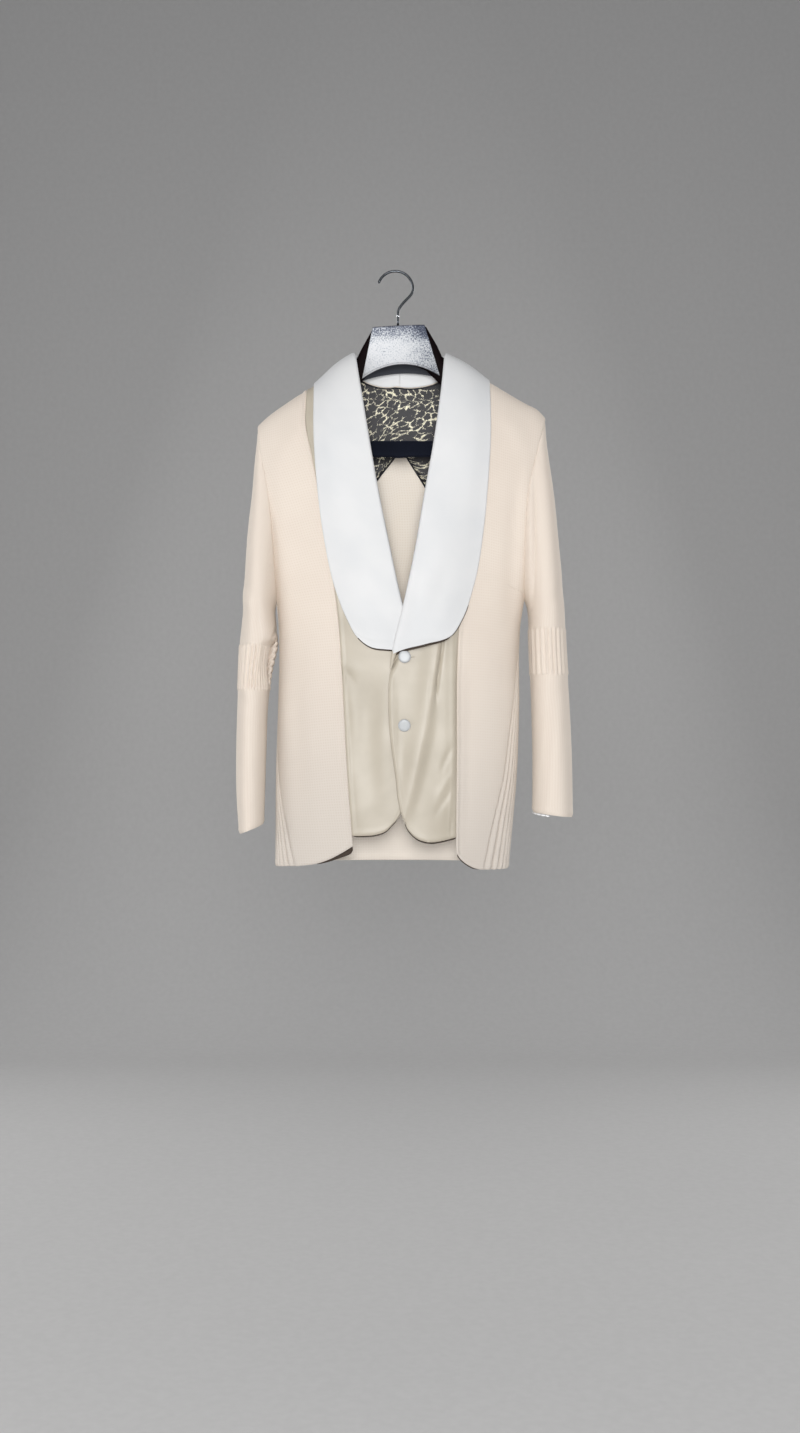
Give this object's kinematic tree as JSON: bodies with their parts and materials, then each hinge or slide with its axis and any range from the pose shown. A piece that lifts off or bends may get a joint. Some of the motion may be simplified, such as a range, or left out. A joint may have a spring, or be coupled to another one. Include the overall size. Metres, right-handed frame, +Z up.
{
  "type": "tuxedo jacket on a hanger",
  "caption": "Ivory knit dinner jacket with white satin shawl collar, satin centre fronts and pleated side panels, on a contoured hanger with a hook.",
  "frame": {"origin": "inner top of the hanger's hook, where a rail bears on it", "axes": "+Z up along the hanging jacket, -Y out of its front, +X towards the wearer's left side"},
  "size_m": [0.5004, 0.145, 0.8959],
  "materials": {
    "ivory_knit": "matt fine knit with a bird's-eye texture",
    "ivory_satin": "soft satin, warm ivory",
    "white_satin": "soft satin, cool white",
    "printed_lining": "smooth lining with a dark blotch print on cream",
    "dark_lacquered_wood": "satin lacquer, very dark burgundy",
    "black_flock": "matt black flock",
    "silver_card": "brushed silver laminate with thin dark edges",
    "hook_steel": "dark polished steel wire"
  },
  "bodies": {
    "root": {"back_panel": "ivory_knit", "front_knit_left": "ivory_knit", "front_knit_right": "ivory_knit", "side_pleats_left": "ivory_knit", "side_pleats_right": "ivory_knit", "sleeve_left": "ivory_knit", "sleeve_right": "ivory_knit", "front_satin_left": "ivory_satin", "front_satin_right": "ivory_satin", "shawl_left": "white_satin", "shawl_right": "white_satin", "button_upper": "white_satin", "button_lower": "white_satin", "lining_yoke": "printed_lining", "hanger_body": "dark_lacquered_wood", "hanger_bar": "black_flock", "hanger_sleeve": "silver_card", "hanger_hook": "hook_steel"}
  },
  "joints": []
}
